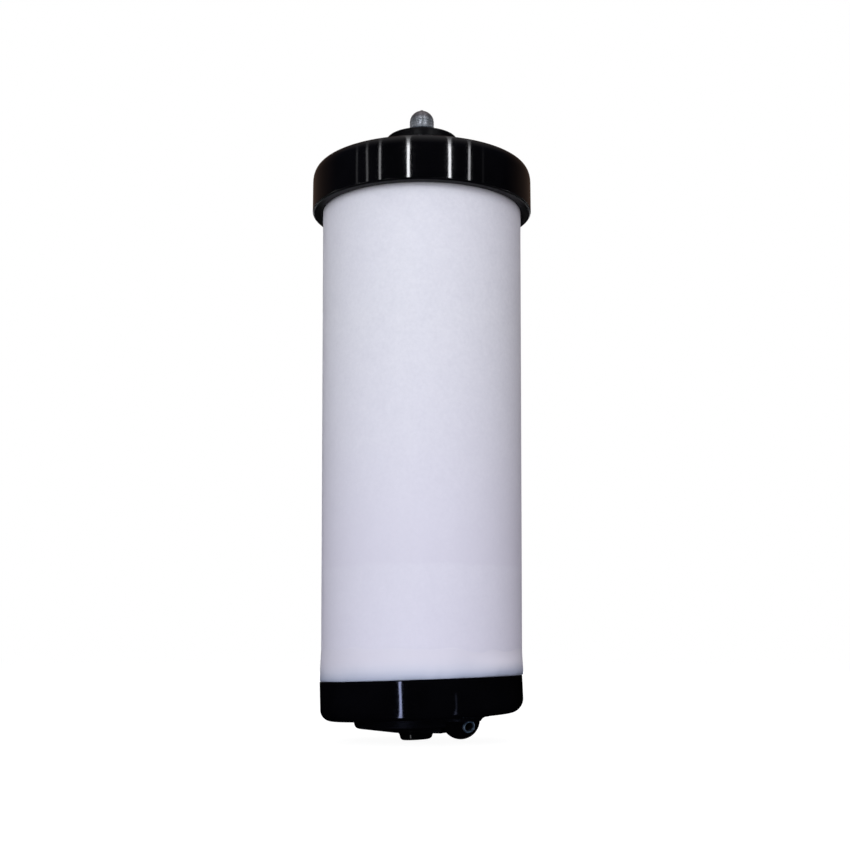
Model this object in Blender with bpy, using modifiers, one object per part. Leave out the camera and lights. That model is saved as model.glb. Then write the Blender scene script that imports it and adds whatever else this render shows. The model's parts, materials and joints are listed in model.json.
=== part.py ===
# Hand pump water filter: a white housing tube with a black base and a wide black screw-on head.
# A lift pump stands on the axis: foot valve, barrel, piston with a disc valve, rod, gland and
# knob. A hollow ceramic element surrounds the barrel. Metres, +Z up. The origin is on the axis,
# level with the lowest face (the mouth of the inlet nipple). Lengths below are in millimetres
# and are scaled to metres by MM. Every profile is a list of (radius, z) points.
import math

import bmesh
import bpy
from mathutils import Matrix, Vector

MM = 0.001

# ---------------------------------------------------------------- driving dimensions (mm)
# Housing tube; its draft widens it upwards
BODY_R = 30.7            # outside, upper end
BODY_LOW_R = 29.7        # outside, lower end
TUBE_IN_R = 27.0         # inside, upper end
TUBE_IN_LOW_R = 26.5     # inside, lower end
TUBE_TOP = 169.3
TUBE_WALL_Z = 23.3       # lower end of the full-width wall
TUBE_SHOULDER_Z = 19.2   # end of the first step below it, clear of the leaning rim
TUBE_STEP_R = 29.0       # outside of that step
TUBE_SPIGOT_R = 28.1     # outside of the spigot inside the base cap
NECK_R, NECK_Z = 29.35, 160.2   # threaded neck: outside and lower end

# Base cap
BASE_R = 30.0
BASE_BOTTOM, BASE_TOP = 6.85, 17.8   # underside of the floor, upper edge of the rim
FLOOR_TOP = 10.1
BASE_BORE_R = 28.4
BASE_ROUND = 3.2         # rounding of the lower edge
BASE_LEAN = 1.98         # degrees out of square at which it is bonded on, +X side up
BASE_PIVOT_Z = 12.4      # height about which it leans
PAD_R, PAD_X = 18.4, -1.8            # raised pad under the floor
PAD_EDGE_Z, PAD_Z = 4.2, 2.5         # its shallow dome, from rim to middle
PAD_CHAMFER, PAD_FLAT_R = 1.2, 6.6
RIB_ENDS = ((0.5, -1.6), (8.5, -9.4))   # gallery rib, (x, y) of its two ends
RIB_Z = 2.3              # underside of that rib

# Inlet nipple and outlet boss
INLET_AT = (-1.6, 0.0)
INLET_R, INLET_FLANGE_Z, INLET_ROUND = 4.6, 1.85, 1.2
OUTLET_AT = (11.1, -11.87)
OUTLET_BALL_R, OUTLET_BALL_Z = 5.5, 6.45
OUTLET_RIM_Z = OUTLET_BALL_Z - 0.15
OUTLET_DIR = (0.42, -0.84, -0.34)    # the way its port faces
PORT_TOOL_END = 8.0      # how far the port's cutters reach from the ball's centre

# Head cap and knuckle thread, right-handed
HEAD_R = 33.9
HEAD_BOTTOM, HEAD_TOP = 159.5, 174.05
HEAD_CEILING = 171.4
HEAD_BORE_R = 31.1
HEAD_ROUND_TOP, HEAD_ROUND_BOTTOM = 4.0, 1.3
HEAD_HOLE_R = 9.5        # opening in the top for the gland
THREAD_PITCH = 4.0
THREAD_RIDGE_R = 1.1
THREAD_TURNS = 1.25
THREAD_STEPS_PER_TURN = 30
THREAD_Z0 = 162.4        # where the tube's ridge starts
CAP_THREAD_LEAD = 0.6    # how much lower on its helix the cap's ridge starts

# Pump, element and foot valve; pairs are (inner, outer) radii or (lower, upper) heights
BARREL_RADII, BARREL_Z = (9.5, 11.0), (15.0, 148.0)
CERAMIC_RADII, CERAMIC_Z = (15.5, 25.0), (27.0, 143.0)
BALL_R, BALL_Z = 3.5, 17.1
ROD_R, ROD_END_R = 3.0, 2.4
ROD_END_HOLE_R = ROD_END_R + 0.2     # hole in the pieces that sit on a rod end
ROD_Z = (25.9, 191.6)
ROD_SHOULDER_Z = (39.3, 179.3)       # where the thinner ends begin
ROD_CHAMFER = 0.4
KNOB_R, KNOB_ROUND = 11.3, 0.6
KNOB_Z = (174.6, 184.6)
KNOB_RECESS_R, KNOB_RECESS_Z = 9.0, 179.5
NUT_R, NUT_Z = 3.8, (187.2, 194.2)
DOME_CENTRE_Z, DOME_RISE = 190.1, 3.75
VALVE_DISC_Z = (39.35, 40.75)

STEPS_BIG, STEPS_MID, STEPS_SMALL = 40, 28, 18


# ---------------------------------------------------------------- scene and materials
for old in list(bpy.data.objects):
    bpy.data.objects.remove(old, do_unlink=True)

parts = bpy.data.collections.new("pump_water_filter")
cutters = bpy.data.collections.new("cutters")
bpy.context.scene.collection.children.link(parts)
bpy.context.scene.collection.children.link(cutters)


def material(name, colour, roughness, metallic=0.0):
    mat = bpy.data.materials.new(name)
    mat.use_nodes = True
    inputs = mat.node_tree.nodes["Principled BSDF"].inputs
    inputs["Base Color"].default_value = (*colour, 1.0)
    inputs["Roughness"].default_value = roughness
    inputs["Metallic"].default_value = metallic
    mat.diffuse_color = (*colour, 1.0)
    return mat


WHITE = material("white_housing", colour=(0.78, 0.78, 0.84), roughness=0.45)
SEALANT = material("white_sealant", colour=(0.80, 0.80, 0.85), roughness=0.35)
BLACK = material("black_plastic", colour=(0.012, 0.012, 0.014), roughness=0.12)
BLACK_IN = material("black_moulding", colour=(0.03, 0.03, 0.032), roughness=0.4)
STEEL = material("stainless_steel", colour=(0.62, 0.62, 0.63), roughness=0.25, metallic=1.0)
NICKEL = material("satin_nickel", colour=(0.48, 0.50, 0.53), roughness=0.35, metallic=1.0)
CERAMIC = material("white_ceramic", colour=(0.86, 0.84, 0.78), roughness=0.9)
RUBBER = material("black_rubber", colour=(0.02, 0.02, 0.02), roughness=0.65)
ACETAL = material("white_acetal", colour=(0.85, 0.85, 0.82), roughness=0.4)
CLEAR = material("barrel_plastic", colour=(0.75, 0.80, 0.82), roughness=0.15)
BRASS = material("brass", colour=(0.70, 0.52, 0.22), roughness=0.3, metallic=1.0)


# ---------------------------------------------------------------- helpers
# A piece built without a material is a helper for a boolean and goes among the cutters.
def finish(shape, name, mat=None):
    """Turns a bmesh into a linked object."""
    mesh = bpy.data.meshes.new(name)
    shape.to_mesh(mesh)
    shape.free()
    obj = bpy.data.objects.new(name, mesh)
    if mat is None:
        cutters.objects.link(obj)
        obj.hide_render = True
        obj.display_type = "WIRE"
    else:
        parts.objects.link(obj)
        mesh.materials.append(mat)
    return obj


def on_circle(radius, degrees, centre=(0.0, 0.0)):
    angle = math.radians(degrees)
    return (centre[0] + radius * math.cos(angle), centre[1] + radius * math.sin(angle))


def arc(centre, radius, start, end, count):
    """count + 1 points of a circle's arc, in degrees, both ends included."""
    return [on_circle(radius, start + (end - start) * i / count, centre) for i in range(count + 1)]


def circle_places(radius, count, start=0.0):
    return [on_circle(radius, start + 360 * i / count) for i in range(count)]


def turned(name, profile, mat=None, steps=STEPS_BIG, at=(0.0, 0.0)):
    """A profile turned once round Z. One that starts on the axis also ends there and stays
    open; any other is closed into a ring."""
    shape = bmesh.new()
    verts = [shape.verts.new((radius * MM, 0.0, z * MM)) for radius, z in profile]
    starts_on_axis = profile[0][0] == 0.0
    for i in range(len(verts) - 1 if starts_on_axis else len(verts)):
        shape.edges.new((verts[i], verts[(i + 1) % len(verts)]))
    obj = finish(shape, name, mat)
    obj.location = (at[0] * MM, at[1] * MM, 0.0)
    screw = obj.modifiers.new("turn", "SCREW")
    screw.axis = "Z"
    screw.angle = math.radians(360)
    screw.screw_offset = 0.0
    screw.steps = steps
    screw.render_steps = steps
    screw.use_merge_vertices = True
    screw.merge_threshold = 0.000001
    screw.use_smooth_shade = True
    return obj


def ring(name, radii, heights, mat, steps=STEPS_MID):
    """A turned ring of square section, from (inner, outer) radii and (lower, upper) heights."""
    inner, outer = radii
    low, high = heights
    return turned(name, [(outer, high), (outer, low), (inner, low), (inner, high)], mat, steps)


def o_ring(name, radius, section_r, z, steps=STEPS_MID):
    """A turned rubber ring of six-sided section."""
    profile = [on_circle(section_r, 90 - 360 * i / 6, (radius, z)) for i in range(6)]
    return turned(name, profile, RUBBER, steps)


def add_cylinder(shape, radius, height, sides, centre=(0.0, 0.0, 0.0)):
    bmesh.ops.create_cone(
        shape,
        cap_ends=True,
        segments=sides,
        radius1=radius * MM,
        radius2=radius * MM,
        depth=height * MM,
        matrix=Matrix.Translation([c * MM for c in centre]),
    )


def cylinder(name, radius, heights, sides, at=(0.0, 0.0), mat=None):
    """A closed cylinder or regular prism along Z, with its origin at its middle."""
    low, high = heights
    shape = bmesh.new()
    add_cylinder(shape, radius, high - low, sides)
    obj = finish(shape, name, mat)
    obj.location = (at[0] * MM, at[1] * MM, (low + high) / 2 * MM)
    return obj


def boolean(obj, other, operation="DIFFERENCE"):
    mod = obj.modifiers.new(f"{operation.lower()}_{other.name}", "BOOLEAN")
    mod.operation = operation
    mod.solver = "EXACT"
    mod.object = other


def holes(obj, name, radius, heights, places, sides):
    """Cuts a vertical hole at each (x, y), with one cutter mesh that holds them all."""
    low, high = heights
    shape = bmesh.new()
    for x, y in places:
        add_cylinder(shape, radius, high - low, sides, (x, y, (low + high) / 2))
    boolean(obj, finish(shape, name))


def thread_ridge(name, radius, start_z, start_degrees):
    """A round ridge on a right-hand helix, as a closed mesh to be joined to a wall."""
    count = round(THREAD_TURNS * THREAD_STEPS_PER_TURN)
    curve = bpy.data.curves.new(name, "CURVE")
    curve.dimensions = "3D"
    curve.bevel_depth = THREAD_RIDGE_R * MM
    curve.bevel_resolution = 1
    curve.use_fill_caps = True
    curve.twist_mode = "Z_UP"
    spline = curve.splines.new("POLY")
    spline.points.add(count)
    for i in range(count + 1):
        angle = math.radians(start_degrees + 360.0 * i / THREAD_STEPS_PER_TURN)
        z = start_z + THREAD_PITCH * i / THREAD_STEPS_PER_TURN
        spline.points[i].co = (
            radius * MM * math.cos(angle), radius * MM * math.sin(angle), z * MM, 1.0)
    guide = bpy.data.objects.new(name + "_curve", curve)
    cutters.objects.link(guide)
    bpy.context.view_layer.update()
    graph = bpy.context.evaluated_depsgraph_get()
    swept = bpy.data.meshes.new_from_object(guide.evaluated_get(graph))
    shape = bmesh.new()
    shape.from_mesh(swept)
    # The caps come loose from the sweep: weld them on.
    bmesh.ops.remove_doubles(shape, verts=shape.verts, dist=1e-6)
    bmesh.ops.recalc_face_normals(shape, faces=shape.faces)
    bpy.data.objects.remove(guide, do_unlink=True)
    bpy.data.meshes.remove(swept)
    return finish(shape, name)


def leaning(obj):
    """Leans a piece as the base cap leans, about a horizontal line through the axis."""
    pivot = Matrix.Translation((0.0, 0.0, BASE_PIVOT_Z * MM))
    turn = Matrix.Rotation(math.radians(-BASE_LEAN), 4, "Y")
    obj.matrix_world = pivot @ turn @ pivot.inverted() @ Matrix.Translation(obj.location)
    return obj


# ---------------------------------------------------------------- housing and base
def build_housing_tube():
    edge, floor_gap = 0.4, 0.3
    tube = turned("housing_tube", [
        (NECK_R, TUBE_TOP), (NECK_R, NECK_Z),
        (BODY_R - edge, NECK_Z), (BODY_R, NECK_Z - edge),
        (BODY_LOW_R, TUBE_WALL_Z), (TUBE_STEP_R, TUBE_WALL_Z),
        (TUBE_STEP_R, TUBE_SHOULDER_Z), (TUBE_SPIGOT_R, TUBE_SHOULDER_Z),
        (TUBE_SPIGOT_R, FLOOR_TOP + floor_gap), (TUBE_IN_LOW_R, FLOOR_TOP + floor_gap),
        (TUBE_IN_R, NECK_Z - 2.0), (TUBE_IN_R, TUBE_TOP),
    ], WHITE)
    boolean(tube, thread_ridge("tube_thread", NECK_R, THREAD_Z0, 0.0), "UNION")


def build_joint_sealant():
    """Sealant squeezed out where the tube is bonded into the base cap. Its lower face
    follows the leaning rim at a constant gap."""
    gap = 0.3
    sealant = turned("joint_sealant", [
        (29.6, 23.0), (29.9, 22.6), (30.05, 20.6), (29.95, 15.5), (29.3, 15.5), (29.3, 23.0),
    ], SEALANT)
    foot = cylinder("sealant_foot", radius=36.0, heights=(12.0, BASE_TOP + gap), sides=24)
    boolean(sealant, leaning(foot))


def gallery_rib():
    """The rib over the clean-water gallery: the hull of two upright rounded discs."""
    # (radius, z), from the top down
    levels = ((4.6, 8.0), (4.6, RIB_Z + 1.0), (4.25, RIB_Z + 0.3), (3.6, RIB_Z))
    sides = 20
    shape = bmesh.new()
    for end in RIB_ENDS:
        for radius, z in levels:
            for i in range(sides):
                x, y = on_circle(radius, 360 * i / sides, end)
                shape.verts.new((x * MM, y * MM, z * MM))
    hull = bmesh.ops.convex_hull(shape, input=shape.verts)
    spare = set(hull["geom_interior"] + hull["geom_unused"])
    inside = [item for item in spare if isinstance(item, bmesh.types.BMVert)]
    bmesh.ops.delete(shape, geom=inside, context="VERTS")
    return finish(shape, "gallery_rib")


def build_base_cap():
    """A leaning cup, bored square to the tube, with two walls for the inner pieces."""
    edge = 0.4
    cap = leaning(turned(
        "base_cap",
        [(0.0, BASE_TOP), (BASE_R - edge, BASE_TOP), (BASE_R, BASE_TOP - edge)]
        + arc((BASE_R - BASE_ROUND, BASE_BOTTOM + BASE_ROUND), BASE_ROUND, 0, -90, 5)
        + [(0.0, BASE_BOTTOM)],
        BLACK,
    ))
    boolean(cap, turned("base_bore", [
        (0.0, 30.0), (BASE_BORE_R, 30.0), (BASE_BORE_R, FLOOR_TOP), (0.0, FLOOR_TOP),
    ]))
    boolean(cap, turned("barrel_wall", [
        (13.5, 21.0), (13.5, 9.0), (11.3, 9.0), (11.3, 18.8), (12.3, 18.8), (12.3, 21.0),
    ]), "UNION")
    boolean(cap, turned("element_wall", [
        (20.6, 20.0), (20.6, 9.0), (19.0, 9.0), (19.0, 20.0),
    ]), "UNION")
    pad = turned("base_pad", [
        (0.0, 8.3), (PAD_R, 8.3), (PAD_R, PAD_EDGE_Z + PAD_CHAMFER),
        (PAD_R - PAD_CHAMFER, PAD_EDGE_Z), (PAD_FLAT_R, PAD_Z), (0.0, PAD_Z),
    ], at=(PAD_X, 0.0))
    boolean(cap, leaning(pad), "UNION")
    boolean(cap, leaning(gallery_rib()), "UNION")
    # (name, radius, (lower, upper) heights, sides, place)
    for cutter in (
        ("outlet_recess", OUTLET_BALL_R + 0.35, (1.0, BASE_BOTTOM), 24, OUTLET_AT),
        ("outlet_hole", 2.55, (6.0, 11.0), 16, OUTLET_AT),
        ("inlet_hole", 3.3, (1.0, 11.0), 20, INLET_AT),
    ):
        boolean(cap, cylinder(*cutter))


# ---------------------------------------------------------------- inlet and foot valve
def build_inlet():
    """A flanged bush pressed into the pad, its mouth the lowest face, and the strainer."""
    turned(
        "inlet_nipple",
        [(3.0, 9.8), (3.0, INLET_FLANGE_Z), (INLET_R, INLET_FLANGE_Z)]
        + arc((INLET_R - INLET_ROUND, INLET_ROUND), INLET_ROUND, 0, -90, 4)
        + [(2.0, 0.0), (2.0, 9.8)],
        BLACK, STEPS_SMALL, at=INLET_AT,
    )
    strainer = cylinder("inlet_strainer", radius=10.9, heights=(10.4, 11.2), sides=32, mat=STEEL)
    places = circle_places(3.2, 4, 45) + circle_places(7.0, 8)
    holes(strainer, "strainer_holes", radius=1.0, heights=(9.8, 11.8), places=places, sides=6)


def build_foot_valve():
    turned("foot_valve_seat", [
        (11.0, 14.7), (11.0, 11.5), (3.6, 11.5), (2.6, 13.2), (2.6, 14.7),
    ], ACETAL, STEPS_MID)

    # The ball's cage: a short cup, open below, with a spoked top that stops the ball.
    cage = turned("foot_valve_cage", [
        (0.0, 24.2), (9.2, 24.2), (9.2, 15.0), (7.6, 15.0), (7.6, 22.8), (0.0, 22.8),
    ], ACETAL, STEPS_MID)
    places = circle_places(4.9, 4, 45)
    holes(cage, "cage_ports", radius=1.9, heights=(22.0, 25.0), places=places, sides=10)

    shape = bmesh.new()
    bmesh.ops.create_uvsphere(shape, u_segments=20, v_segments=12, radius=BALL_R * MM)
    ball = finish(shape, "foot_valve_ball", STEEL)
    ball.location = (0.0, 0.0, BALL_Z * MM)


# ---------------------------------------------------------------- outlet
def along_port(name, radius, reach, sides, mat=None):
    """A cylinder on the outlet port's axis; reach is its (near, far) distance from the
    ball's centre."""
    near, far = reach
    obj = cylinder(name, radius, (0.0, far - near), sides, mat=mat)
    out = Vector(OUTLET_DIR).normalized()
    centre = Vector((*OUTLET_AT, OUTLET_BALL_Z)) + out * (near + far) / 2
    turn = out.to_track_quat("Z", "Y").to_matrix().to_4x4()
    obj.matrix_world = Matrix.Translation(centre * MM) @ turn
    return obj


def build_outlet():
    """A half ball under the floor with a spigot up into the clean-water channel."""
    spigot_r, spigot_top = 2.3, 9.8
    ball = arc((0.0, OUTLET_BALL_Z), OUTLET_BALL_R, -2, -90, 7)
    boss = turned(
        "outlet_boss",
        [(0.0, spigot_top), (spigot_r, spigot_top)]
        + [(spigot_r, OUTLET_RIM_Z), (OUTLET_BALL_R, OUTLET_RIM_Z)]
        + ball[1:-1]
        + [(0.0, OUTLET_BALL_Z - OUTLET_BALL_R)],
        BLACK, STEPS_SMALL, at=OUTLET_AT,
    )
    boolean(boss, cylinder("outlet_bore_up", 1.3, heights=(5.2, 11.0), sides=12, at=OUTLET_AT))
    boolean(boss, along_port("outlet_bore_side", 1.2, reach=(0.6, PORT_TOOL_END), sides=12))
    boolean(boss, along_port("outlet_counterbore", 2.05, reach=(4.55, PORT_TOOL_END), sides=20))
    eyelet = along_port("outlet_eyelet", 1.85, reach=(4.65, 5.55), sides=20, mat=STEEL)
    boolean(eyelet, along_port("eyelet_bore", 1.25, reach=(4.0, PORT_TOOL_END), sides=16))


# ---------------------------------------------------------------- barrel and ceramic element
def build_barrel():
    ring("pump_barrel", BARREL_RADII, BARREL_Z, CLEAR)
    o_ring("barrel_o_ring", radius=11.68, section_r=0.5, z=20.0)


def build_element():
    """The ceramic sleeve, its two end caps and their O-rings."""
    ring("ceramic_element", CERAMIC_RADII, CERAMIC_Z, CERAMIC, STEPS_BIG)
    turned("element_top_cap", [
        (26.2, 146.6), (26.2, 139.0), (25.3, 139.0), (25.3, 143.3), (15.0, 143.3), (15.0, 140.0),
        (11.35, 140.0), (11.35, 141.8), (13.0, 141.8), (13.0, 144.2), (11.35, 144.2),
        (11.35, 146.6),
    ], BLACK_IN, STEPS_MID)
    o_ring("element_top_o_ring", radius=12.02, section_r=0.9, z=143.0)
    turned("element_bottom_cap", [
        (26.0, 31.0), (26.0, 23.4), (18.6, 23.4), (18.6, 18.4), (17.2, 18.4), (17.2, 15.8),
        (18.6, 15.8), (18.6, 13.6), (16.2, 13.6), (16.2, 26.7), (25.3, 26.7), (25.3, 31.0),
    ], BLACK_IN, STEPS_MID)
    o_ring("element_bottom_o_ring", radius=18.1, section_r=0.8, z=17.1)


# ---------------------------------------------------------------- head
def build_head_cap():
    top, bottom = HEAD_ROUND_TOP, HEAD_ROUND_BOTTOM
    cap = turned(
        "head_cap",
        [(HEAD_HOLE_R, HEAD_TOP)]
        + arc((HEAD_R - top, HEAD_TOP - top), top, 90, 0, 6)
        + arc((HEAD_R - bottom, HEAD_BOTTOM + bottom), bottom, 0, -90, 4)
        + [(HEAD_BORE_R, HEAD_BOTTOM), (HEAD_BORE_R, HEAD_CEILING), (HEAD_HOLE_R, HEAD_CEILING)],
        BLACK,
    )
    # The cap's helix runs half a pitch above the tube's, so the two threads interleave.
    start_z = THREAD_Z0 + THREAD_PITCH / 2 - CAP_THREAD_LEAD
    start_degrees = -CAP_THREAD_LEAD / THREAD_PITCH * 360
    boolean(cap, thread_ridge("cap_thread", HEAD_BORE_R, start_z, start_degrees), "UNION")


def build_gland():
    """The carrier under the head cap and the seals it holds round the rod."""
    turned("gland_carrier", [
        (9.1, 174.0), (9.1, 171.1), (29.4, 171.1), (29.4, 169.6), (26.6, 169.6), (26.6, 165.2),
        (25.0, 165.2), (25.0, 162.2), (26.6, 162.2), (26.6, 160.0), (24.0, 160.0), (24.0, 167.6),
        (8.0, 167.6), (8.0, 151.0), (3.7, 151.0), (3.7, 152.2), (5.8, 152.2), (5.8, 174.0),
    ], BLACK_IN, STEPS_MID)
    o_ring("head_o_ring", radius=26.0, section_r=0.9, z=163.7, steps=STEPS_BIG)
    ring("gland_bush", (3.25, 5.6), (152.5, 160.5), ACETAL, STEPS_SMALL)
    turned("rod_seal", [
        (5.65, 164.8), (5.65, 160.8), (4.9, 160.8), (4.4, 162.6), (3.85, 160.8), (3.15, 160.8),
        (3.15, 164.8),
    ], RUBBER, STEPS_SMALL)
    ring("seal_spacer", (3.3, 5.6), (165.1, 167.3), ACETAL, STEPS_SMALL)

    nut = cylinder("gland_nut", radius=8.08, heights=(174.3, 177.6), sides=6, mat=BRASS)
    boolean(nut, cylinder("gland_thread", radius=5.6, heights=(167.6, 175.0), sides=24), "UNION")
    boolean(nut, cylinder("gland_bore", radius=3.35, heights=(166.0, 180.0), sides=24))
    boolean(nut, cylinder("wiper_seat", radius=5.0, heights=(175.2, 180.0), sides=24))
    turned("rod_wiper", [
        (4.8, 177.2), (4.8, 175.5), (3.4, 175.5), (3.15, 177.2),
    ], RUBBER, STEPS_SMALL)


# ---------------------------------------------------------------- plunger
def build_rod():
    low, high = ROD_Z
    shoulder_low, shoulder_high = ROD_SHOULDER_Z
    tip_r = ROD_END_R - ROD_CHAMFER
    turned("pump_rod", [
        (0.0, high), (tip_r, high), (ROD_END_R, high - ROD_CHAMFER),
        (ROD_END_R, shoulder_high), (ROD_R, shoulder_high),
        (ROD_R, shoulder_low), (ROD_END_R, shoulder_low),
        (ROD_END_R, low + ROD_CHAMFER), (tip_r, low), (0.0, low),
    ], STEEL, STEPS_SMALL)


def build_knob():
    """The knob, hollow below, with the bumper under it and the collar and dome nut above."""
    low, high = KNOB_Z
    edge = 0.5
    turned(
        "pump_knob",
        [(ROD_END_HOLE_R, high)]
        + arc((KNOB_R - KNOB_ROUND, high - KNOB_ROUND), KNOB_ROUND, 90, 0, 2)
        + [(KNOB_R, low + edge), (KNOB_R - edge, low), (KNOB_RECESS_R, low)]
        + [(KNOB_RECESS_R, KNOB_RECESS_Z), (ROD_END_HOLE_R, KNOB_RECESS_Z)],
        BLACK, STEPS_MID,
    )
    ring("knob_bumper", (3.2, 7.2), (178.1, 179.2), RUBBER, STEPS_SMALL)
    turned("knob_collar", [
        (3.8, 186.95), (4.1, 186.65), (4.1, 185.2), (3.8, 184.9),
        (ROD_END_HOLE_R, 184.9), (ROD_END_HOLE_R, 186.95),
    ], BLACK, STEPS_SMALL)

    # The dome carries a small raised tip.
    nut_low, nut_high = NUT_Z
    hole_top = 191.9
    dome_angles = [math.radians(degrees) for degrees in (28, 45, 60, 75, 90)]
    turned(
        "dome_nut",
        [(0.0, nut_high), (0.6, nut_high), (0.6, nut_high - 0.35)]
        + [(NUT_R * math.sin(a), DOME_CENTRE_Z + DOME_RISE * math.cos(a)) for a in dome_angles]
        + [(NUT_R, nut_low + 0.3), (NUT_R - 0.3, nut_low), (ROD_END_HOLE_R, nut_low)]
        + [(ROD_END_HOLE_R, hole_top), (0.0, hole_top)],
        NICKEL, STEPS_SMALL,
    )


def build_piston():
    """The grooved piston with its seal and nut, and the disc valve and stop above it."""
    body = turned("piston_body", [
        (8.7, 39.0), (9.1, 38.6), (9.1, 35.6), (7.2, 35.6), (7.2, 31.4), (9.1, 31.4),
        (9.1, 28.9), (ROD_END_HOLE_R, 28.9), (ROD_END_HOLE_R, 39.0),
    ], ACETAL, STEPS_MID)
    places = circle_places(5.2, 4)
    holes(body, "piston_ports", radius=1.2, heights=(28.0, 40.0), places=places, sides=8)
    turned("piston_seal", [
        (8.9, 35.3), (9.35, 34.6), (9.35, 32.4), (8.9, 31.7), (7.4, 31.7), (7.4, 35.3),
    ], RUBBER, STEPS_MID)
    nut = cylinder("piston_nut", radius=4.33, heights=(26.0, 28.6), sides=6, mat=STEEL)
    boolean(nut, cylinder("piston_nut_bore", radius=2.55, heights=(25.0, 30.0), sides=20))
    ring("piston_valve_disc", (3.3, 7.6), VALVE_DISC_Z, RUBBER)
    ring("valve_stop_ring", (3.12, 6.6), (42.7, 43.9), STEEL, STEPS_SMALL)


# ---------------------------------------------------------------- moving groups
# Each moving piece hangs from an empty on its joint's axis: group, empty's z, pieces.
GROUPS = (
    ("foot_valve", BALL_Z, ("foot_valve_ball",)),
    ("head_insert", 169.6, (
        "gland_carrier", "head_o_ring", "gland_bush", "rod_seal", "seal_spacer", "gland_nut",
        "rod_wiper",
    )),
    ("head", HEAD_BOTTOM, ("head_cap",)),
    ("plunger", KNOB_Z[0], (
        "pump_rod", "pump_knob", "knob_bumper", "knob_collar", "dome_nut", "piston_body",
        "piston_seal", "piston_nut", "valve_stop_ring",
    )),
    ("piston_valve", VALVE_DISC_Z[0], ("piston_valve_disc",)),
)


def hang_group(group, z, names):
    pivot = bpy.data.objects.new(group + "_axis", None)
    pivot.empty_display_size = 0.01
    pivot.location = (0.0, 0.0, z * MM)
    parts.objects.link(pivot)
    # World matrices are only right after an update.
    bpy.context.view_layer.update()
    for name in names:
        obj = bpy.data.objects[name]
        world = obj.matrix_world.copy()
        obj.parent = pivot
        obj.matrix_parent_inverse = pivot.matrix_world.inverted()
        obj.matrix_world = world


build_housing_tube()
build_joint_sealant()
build_base_cap()
build_inlet()
build_foot_valve()
build_outlet()
build_barrel()
build_element()
build_head_cap()
build_gland()
build_rod()
build_knob()
build_piston()
for group_row in GROUPS:
    hang_group(*group_row)
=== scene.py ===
# A hand-pumped water filter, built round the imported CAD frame. It stands upright on the Z axis:
# base cap with inlet nipple and outlet ball at the foot, white housing tube, black head cap,
# pump knob and dome nut on top. The camera looks along +Y, with +X to its right.
# Meshes are sized in millimetres and scaled by MM. Shaders, lamps and camera are in metres.
import json
import math
import random

import bmesh
import bpy
import numpy as np
from mathutils import Matrix, Vector

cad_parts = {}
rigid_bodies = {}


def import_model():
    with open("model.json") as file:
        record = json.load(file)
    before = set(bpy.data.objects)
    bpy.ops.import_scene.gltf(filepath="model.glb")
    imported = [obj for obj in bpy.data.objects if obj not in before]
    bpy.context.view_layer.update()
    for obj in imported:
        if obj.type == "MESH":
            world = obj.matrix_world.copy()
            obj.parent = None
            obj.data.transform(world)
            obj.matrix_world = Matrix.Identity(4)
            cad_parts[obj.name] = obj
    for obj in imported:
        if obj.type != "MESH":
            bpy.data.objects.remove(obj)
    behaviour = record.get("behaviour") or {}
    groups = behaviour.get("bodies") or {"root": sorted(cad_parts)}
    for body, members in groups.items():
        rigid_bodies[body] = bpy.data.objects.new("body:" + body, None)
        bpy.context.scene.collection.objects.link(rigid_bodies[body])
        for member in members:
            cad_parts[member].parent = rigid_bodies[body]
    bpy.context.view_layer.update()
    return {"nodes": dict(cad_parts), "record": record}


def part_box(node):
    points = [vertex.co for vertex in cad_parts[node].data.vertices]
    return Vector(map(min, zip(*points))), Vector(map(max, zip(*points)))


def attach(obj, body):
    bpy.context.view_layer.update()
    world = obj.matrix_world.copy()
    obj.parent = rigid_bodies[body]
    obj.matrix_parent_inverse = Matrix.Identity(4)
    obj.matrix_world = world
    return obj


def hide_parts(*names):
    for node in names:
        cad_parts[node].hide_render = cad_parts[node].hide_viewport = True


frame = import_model()
NODES = frame["nodes"]
SLOT_OF = {part["node"]: part["material_slot"] for part in frame["record"]["subparts"]}
BODY_OF = {
    node: body for body, nodes in frame["record"]["behaviour"]["bodies"].items() for node in nodes
}
MM = 0.001

# the base cap sits a little out of square, +X side up, about a line through the axis
LEAN, LEAN_Z = math.radians(1.98), 12.4
LEAN_MATRIX = (
    Matrix.Translation((0, 0, LEAN_Z * MM))
    @ Matrix.Rotation(-LEAN, 4, "Y")
    @ Matrix.Translation((0, 0, -LEAN_Z * MM))
)

scene = bpy.context.scene
for obj in list(bpy.data.objects):
    if obj.name in ("Cube", "Light", "Camera"):
        bpy.data.objects.remove(obj, do_unlink=True)


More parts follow.
